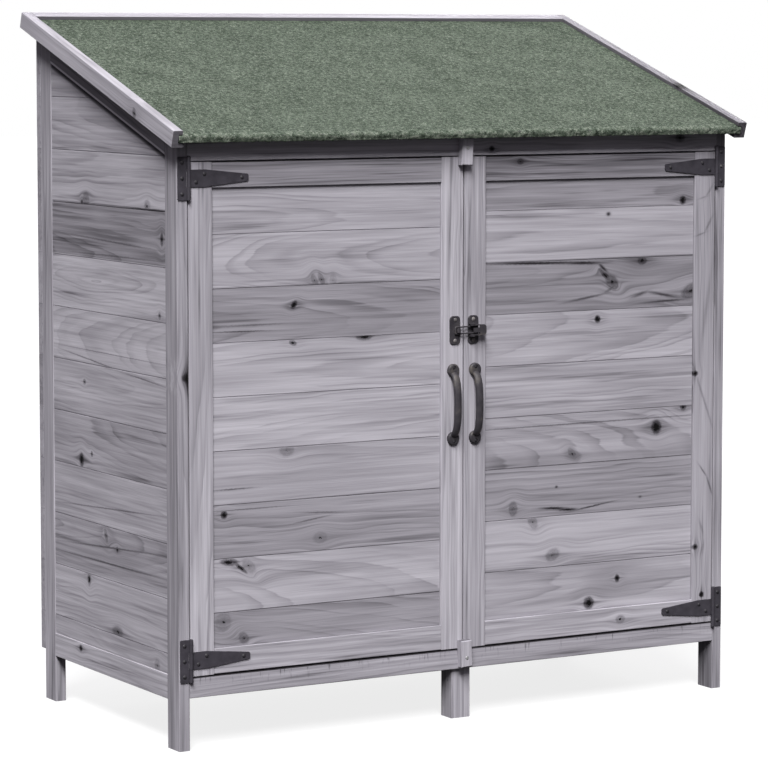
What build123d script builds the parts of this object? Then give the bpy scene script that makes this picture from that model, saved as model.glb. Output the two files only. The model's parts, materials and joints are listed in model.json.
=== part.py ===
from build123d import *
import math
import os

# A timber garden shed with two doors, a sloping felted roof and five legs.
# Millimetres. X runs along the front, Y from front to back, Z up.
# The origin is under the middle of the shed, at floor level.

# Timber frame
FRAME_WIDTH = 1000.0
FRAME_DEPTH = 484.0
POST_WIDTH = 18.0
POST_DEPTH = 39.0
SILL_BOTTOM = 80.0
SILL_HEIGHT = 31.0
FRONT_TIMBER = 19.0
HEADER_HEIGHT = 37.5
STOP_DEPTH = 11.0
STOP_DROP = 12.0
SIDE_RAIL_BOTTOM = 74.6
SIDE_RAIL_HEIGHT = 38.0
SIDE_TOP_RAIL_HEIGHT = 40.0
REAR_RAIL_HEIGHT = 38.0
REAR_RAIL_DEPTH = 18.0
LEG_WIDTH = 34.0
LEG_DEPTH = 32.0
LEG_SETBACK = 7.0
EDGE_BREAK = 0.8

# Boards
SIDE_RECESS = 1.2
SIDE_LIP = 6.0
SIDE_BOARD_PITCH = 83.4
SIDE_SEAM = 143.8
SIDE_LAP = 12.0
BACK_BOARD = 15.0
BACK_BOTTOM = 81.0
DOOR_BOARD_PITCH = 81.8
LEFT_DOOR_SEAM = 205.0
RIGHT_DOOR_SEAM = 227.5
TONGUE_HEIGHT = 5.0
TONGUE_SHARE = 3.0
TONGUE_FIT = 0.2
BOARD_BEVEL = 0.8
FIELD_FIT = 0.5

# Floor
FLOOR_BOARD = 12.0
FLOOR_BOARDS = 5
FLOOR_GAP = 5.0
BEARER_WIDTH = 18.0

# Roof
ROOF_PITCH = 18.2
FRONT_REACH = 27.7
REAR_REACH = 17.0
SIDE_OVERHANG = 20.0
PANEL = 9.0
FELT = 2.5
FELT_FOLD = 1.0
FELT_ROUND = 2.0
RAKE_TRIM_WIDTH = 16.0
REAR_TRIM_WIDTH = 20.0
TRIM_FLANGE = 6.0
TRIM_WALL = 10.0
TRIM_DROP = 8.5
TRIM_LIP = 7.0
TRIM_FIT = 0.3

# Doors
DOOR_HEIGHT = 773.5
DOOR_GAP = 2.0
MEETING_GAP = 2.5
STOP_FIT = 0.3
STILE_WIDTH = 39.5
DOOR_RAIL = 39.0
DOOR_RECESS = 4.0
DOOR_LIP = 8.0
DOOR_LAP = 10.0
TENON_LENGTH = 15.0
TENON_THICK = 7.0
TENON_SHOULDER = 4.0
TENON_FIT = 0.15

# Tee hinges
HINGE_EDGE = 24.0
BARREL_RADIUS = 3.1
HINGE_PIN_RADIUS = 1.5
RUNNING_FIT = 0.05
HINGE_PLATE = 1.8
LEAF_WIDTH = 17.5
LEAF_HEIGHT = 65.0
LEAF_CORNER = 2.0
STRAP_LENGTH = 101.0
STRAP_ROOT = 26.0
STRAP_PARALLEL = 28.0
STRAP_TIP = 10.5
STRAP_TIP_RADIUS = 3.5
LEAF_SCREW_END = 9.0
STRAP_SCREW_NEAR = 13.0
STRAP_SCREW_MIDDLE = 27.0
STRAP_SCREW_TIP = 11.0
STRAP_SCREW_INSET = 7.0
KNUCKLE_GAP = 0.3
PIN_HEAD_RADIUS = 2.3
PIN_HEAD = 1.2

# Screws
SCREW_RADIUS = 1.6
SCREW_HEAD_RADIUS = 3.2
SCREW_HEAD = 1.5
SCREW_LENGTH = 15.0
SCREW_FIT = 0.1

# Pull handles
HANDLE_LENGTH = 128.0
HANDLE_FROM_EDGE = 18.7
PAD_DIAMETER = 21.0
PAD_THICK = 5.0
PAD_ROUND = 3.0
GRIP_WIDTH = 13.0
GRIP_NECK = 12.0
GRIP_THICK = 8.0
GRIP_REACH = 20.0
GRIP_SQUARENESS = 2.6
GRIP_STATIONS = 9
PAD_SCREW_OFFSET = 4.6

# Toggle latch
LATCH_ABOVE_HANDLE = 29.85
LATCH_PLATE_WIDTH = 18.8
LATCH_PLATE_HEIGHT = 44.8
LATCH_PLATE = 2.0
LATCH_PLATE_ROUND = 6.0
LATCH_FROM_EDGE = 15.5
LATCH_SCREW_OFFSET = 16.5
BAIL_WIRE = 2.6
BAIL_SPREAD = 10.4
BAIL_BEND = 2.0
BAIL_REACH = 36.4
BAIL_LIFT = 4.8
EAR_THICK = 1.4
EAR_RADIUS = 4.4
LEVER_INSIDE = 14.0
LEVER_FROM_CENTRE = 4.6
LEVER_LENGTH = 22.6
LEVER_LIFT = 7.6
LEVER_LAP = 6.0
LEVER_WEB_START = 10.5
LEVER_TONGUE = 1.0
TONGUE_CLEAR = 0.5
LEVER_ROUND = 5.0
RIVET_RADIUS = 1.2
RIVET_HEAD_RADIUS = 2.0
RIVET_HEAD = 0.8
EAR_GAP = 0.3
HOOK_WIDTH = 6.0
HOOK_HEIGHT = 6.8
HOOK_REACH = 9.5
HOOK_SLACK = 0.9

# Turn buttons
BUTTON_WIDTH = 20.0
BUTTON_LENGTH = 42.0
BUTTON_THICK = 12.0
BUTTON_SHORT_END = 14.5
BUTTON_BREAK = 1.2
BUTTON_CLEAR = 0.3
BUTTON_FROM_DOOR = 14.5
BUTTON_TILT = 2.5
PIVOT_RADIUS = 2.0
PIVOT_HEAD_RADIUS = 2.8
PIVOT_HEAD = 1.4
PIVOT_SINK = 1.0
PIVOT_BITE = 16.0

# Places worked out from the sizes above
PITCH = math.radians(ROOF_PITCH)
FELT_TOP = PANEL + FELT
TRIM_TOP = FELT_TOP + TRIM_FLANGE
ROOF_END = (FRAME_DEPTH + BACK_BOARD) / math.cos(PITCH) + REAR_REACH
ROUND_FRONT = FELT_ROUND - FRONT_REACH - FELT
ROUND_TOP = FELT_TOP - FELT_ROUND
FELT_NOSE = ROUND_FRONT * math.cos(PITCH) - ROUND_TOP * math.sin(PITCH) - FELT_ROUND
TRIM_NOSE = -FRONT_REACH * math.cos(PITCH) - TRIM_TOP * math.sin(PITCH)
ROOF_TAIL = ROOF_END * math.cos(PITCH) + TRIM_DROP * math.sin(PITCH)
FACE = -(min(FELT_NOSE, TRIM_NOSE) + ROOF_TAIL) / 2
BACK = FACE + FRAME_DEPTH
LEFT = -FRAME_WIDTH / 2
INNER_LEFT = LEFT + POST_WIDTH
SILL_TOP = SILL_BOTTOM + SILL_HEIGHT
DOOR_BOTTOM = SILL_TOP + DOOR_GAP
DOOR_TOP = DOOR_BOTTOM + DOOR_HEIGHT
HEADER_BOTTOM = DOOR_TOP + DOOR_GAP
PANEL_HEIGHT = HEADER_BOTTOM + HEADER_HEIGHT
DOOR_LEFT = INNER_LEFT + DOOR_GAP
DOOR_RIGHT = -MEETING_GAP / 2
DOOR_BACK = FACE + FRONT_TIMBER
REAR_RAIL_FACE = BACK - REAR_RAIL_DEPTH
BEARER_TOP = SILL_TOP - FLOOR_BOARD
HINGE_X = INNER_LEFT + DOOR_GAP / 2
HINGE_Y = FACE - BARREL_RADIUS
HINGE_HEIGHTS = {"upper": DOOR_TOP - HINGE_EDGE, "lower": DOOR_BOTTOM + HINGE_EDGE}
HANDLE_X = DOOR_RIGHT - HANDLE_FROM_EDGE
HANDLE_Z = (DOOR_BOTTOM + DOOR_TOP) / 2
LATCH_HEIGHT = HANDLE_Z + HANDLE_LENGTH / 2 + LATCH_ABOVE_HANDLE + LATCH_PLATE_HEIGHT / 2
CATCH_X = DOOR_RIGHT - LATCH_FROM_EDGE
BASE_X = -CATCH_X
LEVER_PIVOT = (BASE_X - LEVER_FROM_CENTRE, FACE - LEVER_LIFT)
BAIL_PIVOT = (LEVER_PIVOT[0] + LEVER_LAP, FACE - BAIL_LIFT)
BUTTON_HEIGHTS = {"top": DOOR_TOP + BUTTON_FROM_DOOR, "bottom": DOOR_BOTTOM - BUTTON_FROM_DOOR}
FAR = 2 * (FRAME_WIDTH + FRAME_DEPTH + DOOR_HEIGHT)

# The roof plane: its x runs along the front, its y up the slope, its z out of the roof.
# Height zero is the underside of the roof panel, above the front face of the posts.
ROOF = Plane(
    origin=(0, FACE, PANEL_HEIGHT),
    x_dir=(1, 0, 0),
    z_dir=(0, -math.sin(PITCH), math.cos(PITCH)),
)

parts = {}


def block(x, y, z):
    """A box between two values on each axis."""
    size = [max(pair) - min(pair) for pair in (x, y, z)]
    centre = [(pair[0] + pair[1]) / 2 for pair in (x, y, z)]
    return Pos(*centre) * Box(*size)


def under_roof(depth=0.0):
    """Everything lower than a plane that lies this deep under the roof panel."""
    return ROOF * block((-FAR, FAR), (-FAR, FAR), (-FAR, -depth))


def mirrored(shape):
    """The same piece on the other side of the shed."""
    return mirror(shape, about=Plane.YZ)


def softened(timber):
    """Break the long sharp corners of a plain timber."""
    return chamfer(timber.edges().group_by(SortBy.LENGTH)[-1], EDGE_BREAK)


def post(y):
    """One left-hand post between two values of Y, cut to the roof slope at its top."""
    return (softened(block((LEFT, INNER_LEFT), y, (0, FAR))) & under_roof()) - side_rebate()


def group(shapes):
    """Several separate solids kept together as one node."""
    solids = [solid for shape in shapes for solid in shape.solids()]
    return Compound(children=solids)


def plank_face(low, high, thickness):
    """End view of one board, outer face at x = 0, tongue up and groove down."""
    middle = thickness / 2
    tongue = thickness / TONGUE_SHARE / 2
    groove = tongue + TONGUE_FIT
    groove_top = low + TONGUE_HEIGHT + TONGUE_FIT
    points = [
        (BOARD_BEVEL, low),
        (middle - groove, low),
        (middle - groove, groove_top),
        (middle + groove, groove_top),
        (middle + groove, low),
        (thickness, low),
        (thickness, high),
        (middle + tongue, high),
        (middle + tongue, high + TONGUE_HEIGHT),
        (middle - tongue, high + TONGUE_HEIGHT),
        (middle - tongue, high),
        (BOARD_BEVEL, high),
        (0, high - BOARD_BEVEL),
        (0, low + BOARD_BEVEL),
    ]
    return make_face(Polyline(*points, close=True))


def boarding(plane, length, thickness, seam, pitch, field):
    """Tongued boards stacked up a field, from a plane at their lower outer corner."""
    box = field.bounding_box()
    first = math.ceil((box.min.Z - seam) / pitch) - 1
    last = math.ceil((box.max.Z - seam) / pitch)
    boards = []
    for number in range(first, last):
        low = seam + number * pitch
        face = plane * plank_face(low, low + pitch, thickness)
        boards.append(extrude(face, length, dir=plane.z_dir) & field)
    return group(boards)


def screw():
    """A dome-headed wood screw seated at the origin and driven along +Y."""
    dome = (SCREW_HEAD_RADIUS**2 + SCREW_HEAD**2) / (2 * SCREW_HEAD)
    ball = Pos(0, dome - SCREW_HEAD, 0) * Sphere(dome)
    head = ball & block((-FAR, FAR), (-FAR, 0), (-FAR, FAR))
    shank = Pos(0, SCREW_LENGTH / 2, 0) * Rot(-90, 0, 0) * Cylinder(SCREW_RADIUS, SCREW_LENGTH)
    return head + shank


def screw_hole(depth, radius=SCREW_RADIUS + SCREW_FIT):
    """The hole that takes a screw, this deep along +Y and open towards the front."""
    return Rot(-90, 0, 0) * Cylinder(radius, 2 * depth)


def side_field(depth, lap, fit=0.0):
    """Room for one side's boards from this deep in, lapped this far behind posts and rails."""
    front = FACE + POST_DEPTH - lap + fit
    rear = BACK - POST_DEPTH + lap - fit
    low = SIDE_RAIL_BOTTOM + SIDE_RAIL_HEIGHT - lap + fit
    space = block((LEFT + depth, INNER_LEFT), (front, rear), (low, FAR))
    return space & under_roof(SIDE_TOP_RAIL_HEIGHT - lap + fit)


def side_rebate():
    """The step in posts and rails that the edges of one side's boards lie in."""
    return side_field(SIDE_LIP, SIDE_LAP)


def leaf_screw_places(height):
    """Centres of the screws in one hinge leaf, on the post's face."""
    spread = LEAF_HEIGHT / 2 - LEAF_SCREW_END
    middle = HINGE_X - (LEAF_WIDTH + BARREL_RADIUS) / 2
    return [Pos(middle, FACE, height + step) for step in (-spread, 0, spread)]


def strap_screw_places(height):
    """Centres of the screws in one hinge strap, on the door's face."""
    rise = STRAP_ROOT / 2 - STRAP_SCREW_INSET
    near = Pos(HINGE_X + STRAP_SCREW_NEAR, FACE, height - rise)
    middle = Pos(HINGE_X + STRAP_SCREW_MIDDLE, FACE, height + rise)
    tip = Pos(HINGE_X + STRAP_LENGTH - STRAP_SCREW_TIP, FACE, height)
    return [near, middle, tip]


def handle_screw_places():
    """Centres of the two screws of one handle, on the stile's face."""
    reach = (HANDLE_LENGTH - PAD_DIAMETER) / 2 + PAD_SCREW_OFFSET
    return [Pos(HANDLE_X, FACE, HANDLE_Z + way * reach) for way in (-1, 1)]


def latch_screw_places():
    """Centres of the two screws of the catch plate, on the stile's face."""
    return [Pos(CATCH_X, FACE, LATCH_HEIGHT + way * LATCH_SCREW_OFFSET) for way in (-1, 1)]


def drilled(timber, places):
    """A timber with a pilot hole for a screw at each place."""
    depth = SCREW_LENGTH + SCREW_FIT
    for place in places:
        timber = timber - place * screw_hole(depth)
    return timber


def all_heights(places):
    """The places of one hinge fitting at both heights."""
    return [place for height in HINGE_HEIGHTS.values() for place in places(height)]


# Posts and legs
front_post = drilled(post((FACE, FACE + POST_DEPTH)), all_heights(leaf_screw_places))
rear_post = post((BACK - POST_DEPTH, BACK))
parts["front_left_post"] = front_post
parts["front_right_post"] = mirrored(front_post)
parts["rear_left_post"] = rear_post
parts["rear_right_post"] = mirrored(rear_post)
leg_front = FACE + LEG_SETBACK
leg_span = (leg_front, leg_front + LEG_DEPTH)
leg = block((-LEG_WIDTH / 2, LEG_WIDTH / 2), leg_span, (0, SILL_BOTTOM))
parts["front_centre_leg"] = softened(leg)

# Rails across the front and the rear
between_posts = (INNER_LEFT, -INNER_LEFT)
sill = block(between_posts, (FACE, DOOR_BACK), (SILL_BOTTOM, SILL_TOP))
pivot_bite = PIVOT_BITE + BUTTON_CLEAR
pivot_hole = screw_hole(pivot_bite, PIVOT_RADIUS + SCREW_FIT)
parts["front_sill"] = softened(sill) - Pos(0, FACE, BUTTON_HEIGHTS["bottom"]) * pivot_hole
header = block(between_posts, (FACE, DOOR_BACK + STOP_FIT), (HEADER_BOTTOM, FAR))
stop_front = DOOR_BACK + STOP_FIT
door_stop = block(between_posts, (stop_front, stop_front + STOP_DEPTH), (DOOR_TOP - STOP_DROP, FAR))
header = (header + door_stop) & under_roof()
parts["front_header"] = header - Pos(0, FACE, BUTTON_HEIGHTS["top"]) * pivot_hole
rear_low = block(between_posts, (REAR_RAIL_FACE, BACK), (SILL_BOTTOM, SILL_BOTTOM + REAR_RAIL_HEIGHT))
parts["rear_bottom_rail"] = softened(rear_low)
rear_high = block(between_posts, (REAR_RAIL_FACE, BACK), (HEADER_BOTTOM, FAR)) & under_roof()
parts["rear_top_rail"] = rear_high - under_roof(REAR_RAIL_HEIGHT)

# Side rails and side boards
side_run = (FACE + POST_DEPTH, BACK - POST_DEPTH)
side_depth = (LEFT, INNER_LEFT)
side_low = block(side_depth, side_run, (SIDE_RAIL_BOTTOM, SIDE_RAIL_BOTTOM + SIDE_RAIL_HEIGHT))
side_high = ROOF * softened(block(side_depth, (-FAR, FAR), (-SIDE_TOP_RAIL_HEIGHT, 0)))
side_high = side_high & block(side_depth, side_run, (0, FAR))
board_plane = Plane(
    origin=(LEFT + SIDE_RECESS, BACK, 0),
    x_dir=(1, 0, 0),
    z_dir=(0, -1, 0),
)
board_field = side_field(SIDE_LIP, SIDE_LAP, FIELD_FIT) + side_field(SIDE_RECESS, 0, FIELD_FIT)
side_boards = boarding(
    board_plane, FRAME_DEPTH, POST_WIDTH - SIDE_RECESS, SIDE_SEAM, SIDE_BOARD_PITCH, board_field
)
side_pieces = {
    "bottom_rail": softened(side_low) - side_rebate(),
    "top_rail": side_high - side_rebate(),
    "boards": side_boards,
}
for name, piece in side_pieces.items():
    parts["left_side_" + name] = piece
    parts["right_side_" + name] = mirrored(piece)

# Back boards
back_field = block((LEFT, -LEFT), (BACK, BACK + BACK_BOARD), (BACK_BOTTOM, FAR)) & under_roof()
back_plane = Plane(
    origin=(-LEFT, BACK + BACK_BOARD, 0),
    x_dir=(0, -1, 0),
    z_dir=(-1, 0, 0),
)
parts["back_boards"] = boarding(
    back_plane, FRAME_WIDTH, BACK_BOARD, SIDE_SEAM, SIDE_BOARD_PITCH, back_field
)

# Floor
bearer_run = (DOOR_BACK, REAR_RAIL_FACE)
bearer_rise = (SILL_BOTTOM, BEARER_TOP)
left_bearer = block((INNER_LEFT, INNER_LEFT + BEARER_WIDTH), bearer_run, bearer_rise)
centre_bearer = block((-LEG_WIDTH / 2, LEG_WIDTH / 2), bearer_run, bearer_rise)
parts["floor_bearers"] = group([left_bearer, centre_bearer, mirrored(left_bearer)])
floor_run = bearer_run[1] - bearer_run[0]
floor_width = (floor_run - (FLOOR_BOARDS - 1) * FLOOR_GAP) / FLOOR_BOARDS
floor = []
for number in range(FLOOR_BOARDS):
    near = bearer_run[0] + number * (floor_width + FLOOR_GAP)
    plank = block(between_posts, (near, near + floor_width), (BEARER_TOP, SILL_TOP))
    floor.append(softened(plank))
parts["floor_boards"] = group(floor)

# Roof panel, felt and grooved trims
roof_left = LEFT - SIDE_OVERHANG
panel_left = roof_left + TRIM_WALL + TRIM_FIT
panel_span = (panel_left, -panel_left)
panel_run = (-FRONT_REACH, ROOF_END - TRIM_WALL - TRIM_FIT)
parts["roof_panel"] = ROOF * block(panel_span, panel_run, (0, PANEL))
felt_sheet = block(panel_span, (-FRONT_REACH - FELT, panel_run[1]), (PANEL, FELT_TOP))
felt_fold = block(panel_span, (-FRONT_REACH - FELT, -FRONT_REACH), (-FELT_FOLD, FELT_TOP))
felt = felt_sheet + felt_fold
nose = felt.edges().filter_by(Axis.X).sort_by(Axis.Y)[:2].sort_by(Axis.Z)[-1]
parts["roof_felt"] = ROOF * fillet(nose, FELT_ROUND)


def trim_face(width, lip_width):
    """Section of a roof trim with its outer wall at x = 0: a flange, a groove and a lip."""
    points = [
        (0, -TRIM_DROP),
        (lip_width, -TRIM_DROP),
        (lip_width, -TRIM_DROP + TRIM_LIP),
        (TRIM_WALL, -TRIM_DROP + TRIM_LIP),
        (TRIM_WALL, FELT_TOP),
        (width, FELT_TOP),
        (width, TRIM_TOP),
        (0, TRIM_TOP),
    ]
    section = make_face(Polyline(*points, close=True))
    outer = [
        corner
        for corner in section.vertices()
        if corner.X < EDGE_BREAK or corner.Y > TRIM_TOP - EDGE_BREAK
    ]
    return chamfer(outer, EDGE_BREAK)


rake_plane = Plane(origin=(roof_left, ROOF_END, 0), x_dir=(1, 0, 0), z_dir=(0, -1, 0))
rake_face = rake_plane * trim_face(RAKE_TRIM_WIDTH, SIDE_OVERHANG - TRIM_FIT)
rake = extrude(rake_face, FRONT_REACH + ROOF_END, dir=rake_plane.z_dir)
parts["left_rake_trim"] = ROOF * rake
parts["right_rake_trim"] = mirrored(ROOF * rake)
rear_inner = roof_left + RAKE_TRIM_WIDTH
rear_plane = Plane(origin=(-rear_inner, ROOF_END, 0), x_dir=(0, -1, 0), z_dir=(-1, 0, 0))
rear_face = rear_plane * trim_face(REAR_TRIM_WIDTH, REAR_REACH - TRIM_FIT)
rear_trim = extrude(rear_face, -2 * rear_inner, dir=rear_plane.z_dir)
parts["rear_trim"] = ROOF * rear_trim - [parts["left_rake_trim"], parts["right_rake_trim"]]


# Doors
def tenon(x, z, fit):
    """A stub tenon on a door rail, grown by the fit to make its mortise."""
    middle = FACE + FRONT_TIMBER / 2
    half = TENON_THICK / 2 + fit
    rise = (z[0] - fit, z[1] + fit)
    return block(x, (middle - half, middle + half), rise)


def door_pieces(seam):
    """The timber of the left door, hung on its left edge."""
    inner = (DOOR_LEFT + STILE_WIDTH, DOOR_RIGHT - STILE_WIDTH)
    depth = (FACE, DOOR_BACK)
    height = (DOOR_BOTTOM, DOOR_TOP)
    rails = {
        "bottom_rail": (DOOR_BOTTOM, DOOR_BOTTOM + DOOR_RAIL),
        "top_rail": (DOOR_TOP - DOOR_RAIL, DOOR_TOP),
    }
    clear = (rails["bottom_rail"][1] - DOOR_LAP, rails["top_rail"][0] + DOOR_LAP)
    lap = (inner[0] - DOOR_LAP, inner[1] + DOOR_LAP)
    rebate = block(lap, (FACE + DOOR_LIP, DOOR_BACK), clear)
    inset = [(span[0] + FIELD_FIT, span[1] - FIELD_FIT) for span in (lap, clear)]
    edges = block(inset[0], (FACE + DOOR_LIP, DOOR_BACK), inset[1])
    seen = [(span[0] + DOOR_LAP, span[1] - DOOR_LAP) for span in inset]
    board_field = edges + block(seen[0], (FACE + DOOR_RECESS, DOOR_BACK), seen[1])
    tenon_rise = {
        "bottom_rail": (DOOR_BOTTOM + TENON_SHOULDER, clear[0] - TENON_SHOULDER),
        "top_rail": (clear[1] + TENON_SHOULDER, DOOR_TOP - TENON_SHOULDER),
    }
    reach = (inner[0] - TENON_LENGTH, inner[1] + TENON_LENGTH)
    deep = (reach[0] - TENON_FIT, reach[1] + TENON_FIT)
    mortises = [tenon(deep, rise, TENON_FIT) for rise in tenon_rise.values()]
    strap_places = all_heights(strap_screw_places)
    pull_places = handle_screw_places() + latch_screw_places()
    stiles = {
        "hinge_stile": ((DOOR_LEFT, inner[0]), strap_places),
        "meeting_stile": ((inner[1], DOOR_RIGHT), pull_places),
    }
    pieces = {}
    for name, (span, places) in stiles.items():
        stile = softened(block(span, depth, height)) - rebate - mortises
        pieces[name] = drilled(stile, places)
    for name, rise in rails.items():
        rail = softened(block(inner, depth, rise)) - rebate
        rail = rail + tenon(reach, tenon_rise[name], 0)
        pieces[name] = drilled(rail, strap_places)
    plane = Plane(
        origin=(inset[0][0], FACE + DOOR_RECESS, 0),
        x_dir=(0, 1, 0),
        z_dir=(1, 0, 0),
    )
    length = inset[0][1] - inset[0][0]
    pieces["boards"] = boarding(
        plane, length, FRONT_TIMBER - DOOR_RECESS, seam, DOOR_BOARD_PITCH, board_field
    )
    return pieces


for name, piece in door_pieces(LEFT_DOOR_SEAM).items():
    parts["left_door_" + name] = piece
for name, piece in door_pieces(RIGHT_DOOR_SEAM).items():
    parts["right_door_" + name] = mirrored(piece)


# Tee hinges, drawn about their pin with the doors closed
def barrel(low, high):
    """One knuckle of a hinge between two heights, without its bore."""
    return Pos(0, 0, (low + high) / 2) * Cylinder(BARREL_RADIUS, high - low)


def hinge_plate(outline):
    """A flat plate on the face of the timber, from an outline in X and Z."""
    plane = Plane(origin=(0, BARREL_RADIUS, 0), x_dir=(1, 0, 0), z_dir=(0, -1, 0))
    return extrude(plane * outline, HINGE_PLATE, dir=plane.z_dir)


def hinge_leaf():
    """The leaf on the post, with a knuckle at each end of the barrel."""
    half = LEAF_HEIGHT / 2
    notch = STRAP_ROOT / 2 + KNUCKLE_GAP
    outline = Pos(-LEAF_WIDTH / 2, 0) * Rectangle(LEAF_WIDTH, LEAF_HEIGHT)
    corners = outline.vertices().sort_by(Axis.X)[:2]
    plate = hinge_plate(fillet(corners, LEAF_CORNER))
    leaf = plate + barrel(notch, half) + barrel(-half, -notch)
    side = BARREL_RADIUS + KNUCKLE_GAP
    leaf = leaf - block((-side, side), (-side, side), (-notch, notch))
    return leaf - Cylinder(HINGE_PIN_RADIUS + RUNNING_FIT, LEAF_HEIGHT)


def hinge_strap():
    """The tapered strap on the door, with the middle knuckle."""
    root = STRAP_ROOT / 2
    tip = STRAP_TIP / 2
    points = [
        (0, -root),
        (STRAP_PARALLEL, -root),
        (STRAP_LENGTH, -tip),
        (STRAP_LENGTH, tip),
        (STRAP_PARALLEL, root),
        (0, root),
    ]
    outline = make_face(Polyline(*points, close=True))
    corners = outline.vertices().sort_by(Axis.X)[-2:]
    plate = hinge_plate(fillet(corners, STRAP_TIP_RADIUS))
    strap = plate + barrel(-root, root)
    return strap - Cylinder(HINGE_PIN_RADIUS + RUNNING_FIT, STRAP_ROOT)


def hinge_pin():
    """The pin, with a domed head at each end of the barrel."""
    half = LEAF_HEIGHT / 2
    pin = Cylinder(HINGE_PIN_RADIUS, LEAF_HEIGHT)
    cap = Pos(0, 0, half + PIN_HEAD / 2) * Cylinder(PIN_HEAD_RADIUS, PIN_HEAD)
    cap = fillet(cap.edges().sort_by(Axis.Z)[-1], PIN_HEAD * 0.6)
    return pin + cap + mirror(cap, about=Plane.XY)


plate_hole = screw_hole(2 * BARREL_RADIUS, SCREW_RADIUS + 2 * SCREW_FIT)
for row, height in HINGE_HEIGHTS.items():
    place = Pos(HINGE_X, HINGE_Y, height)
    leaf = place * hinge_leaf() - [spot * plate_hole for spot in leaf_screw_places(height)]
    strap = place * hinge_strap() - [spot * plate_hole for spot in strap_screw_places(height)]
    fittings = {"hinge_leaf": leaf, "hinge_strap": strap, "hinge_pin": place * hinge_pin()}
    for name, piece in fittings.items():
        parts[row + "_left_" + name] = piece
        parts[row + "_right_" + name] = mirrored(piece)


# Pull handles, cast in one piece
def grip_point(turn):
    """A point on the grip's bowed centre line; turn runs from 0 at the top pad to pi."""
    power = 2 / GRIP_SQUARENESS
    span = (HANDLE_LENGTH - PAD_DIAMETER) / 2 - GRIP_NECK / 2
    reach = GRIP_REACH - GRIP_THICK / 2
    rise = math.copysign(abs(math.cos(turn)) ** power, math.cos(turn)) * span
    return Vector(0, -reach * abs(math.sin(turn)) ** power, rise)


def grip_station(turn):
    """One oval section across the grip, widest in the middle."""
    step = 0.02
    before = grip_point(max(turn - step, 0))
    after = grip_point(min(turn + step, math.pi))
    swell = math.sin(turn) ** 2
    width = GRIP_NECK + (GRIP_WIDTH - GRIP_NECK) * swell
    plane = Plane(origin=grip_point(turn), x_dir=(1, 0, 0), z_dir=after - before)
    return plane * Ellipse(width / 2, GRIP_THICK / 2)


def pull_handle():
    """A bowed grip between two round pads, centred on the door face."""
    turns = [math.pi * number / (GRIP_STATIONS - 1) for number in range(GRIP_STATIONS)]
    grip = loft([grip_station(turn) for turn in turns]) & block((-FAR, FAR), (-FAR, 0), (-FAR, FAR))
    pad = Cylinder(PAD_DIAMETER / 2, PAD_THICK)
    pad = fillet(pad.edges().sort_by(Axis.Z)[-1], PAD_ROUND)
    pad = Pos(0, -PAD_THICK / 2, 0) * Rot(90, 0, 0) * pad
    offset = (HANDLE_LENGTH - PAD_DIAMETER) / 2
    return grip + Pos(0, 0, offset) * pad + Pos(0, 0, -offset) * pad


handle = Pos(HANDLE_X, FACE, HANDLE_Z) * pull_handle()
handle = handle - [spot * screw_hole(2 * PAD_THICK) for spot in handle_screw_places()]
seat_cut = Rot(90, 0, 0) * Cylinder(SCREW_HEAD_RADIUS + SCREW_FIT, 2 * SCREW_HEAD)
seat_lift = Pos(0, -PAD_THICK, 0)
handle = handle - [spot * seat_lift * seat_cut for spot in handle_screw_places()]
parts["left_pull_handle"] = handle
parts["right_pull_handle"] = mirrored(handle)


# Toggle latch: a hook on the left door, a lever and its wire bail on the right door
def latch_plate(x):
    """A round-cornered plate screwed to a stile."""
    plane = Plane(origin=(x, FACE, LATCH_HEIGHT), x_dir=(1, 0, 0), z_dir=(0, -1, 0))
    outline = RectangleRounded(LATCH_PLATE_WIDTH, LATCH_PLATE_HEIGHT, LATCH_PLATE_ROUND)
    plate = extrude(plane * outline, LATCH_PLATE, dir=plane.z_dir)
    plate = chamfer(plate.faces().sort_by(Axis.Y)[0].edges(), LATCH_PLATE / 3)
    for way in (-1, 1):
        spot = Pos(x, FACE, LATCH_HEIGHT + way * LATCH_SCREW_OFFSET)
        plate = plate - spot * plate_hole
    return plate


lever_half = LEVER_INSIDE / 2 + EAR_THICK
base_ear_low = lever_half + EAR_GAP
bail_half = BAIL_SPREAD / 2
bail_end = BAIL_PIVOT[0] - BAIL_REACH
hook_left = bail_end + BAIL_WIRE / 2 + HOOK_SLACK
hook_rise = (LATCH_HEIGHT - HOOK_HEIGHT / 2, LATCH_HEIGHT + HOOK_HEIGHT / 2)
hook = block((hook_left, hook_left + HOOK_WIDTH), (FACE - HOOK_REACH, FACE - LATCH_PLATE), hook_rise)
hook = fillet(hook.edges().filter_by(Axis.Z).sort_by(Axis.Y)[:2], HOOK_WIDTH / 3)
parts["latch_catch_plate"] = latch_plate(CATCH_X) + hook

base = latch_plate(BASE_X)
pivot_lift = LEVER_LIFT - LATCH_PLATE
rivet_hole = Circle(RIVET_RADIUS + RUNNING_FIT)
ear_foot = Pos(0, pivot_lift / 2) * Rectangle(2 * EAR_RADIUS, pivot_lift)
base_ear = extrude(Circle(EAR_RADIUS) + ear_foot - rivet_hole, EAR_THICK)
ear_place = Pos(LEVER_PIVOT[0], LEVER_PIVOT[1], LATCH_HEIGHT)
upper_ear = ear_place * Pos(0, 0, base_ear_low) * base_ear
lower_ear = ear_place * Pos(0, 0, -base_ear_low - EAR_THICK) * base_ear
parts["latch_base_plate"] = base + upper_ear + lower_ear

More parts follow.
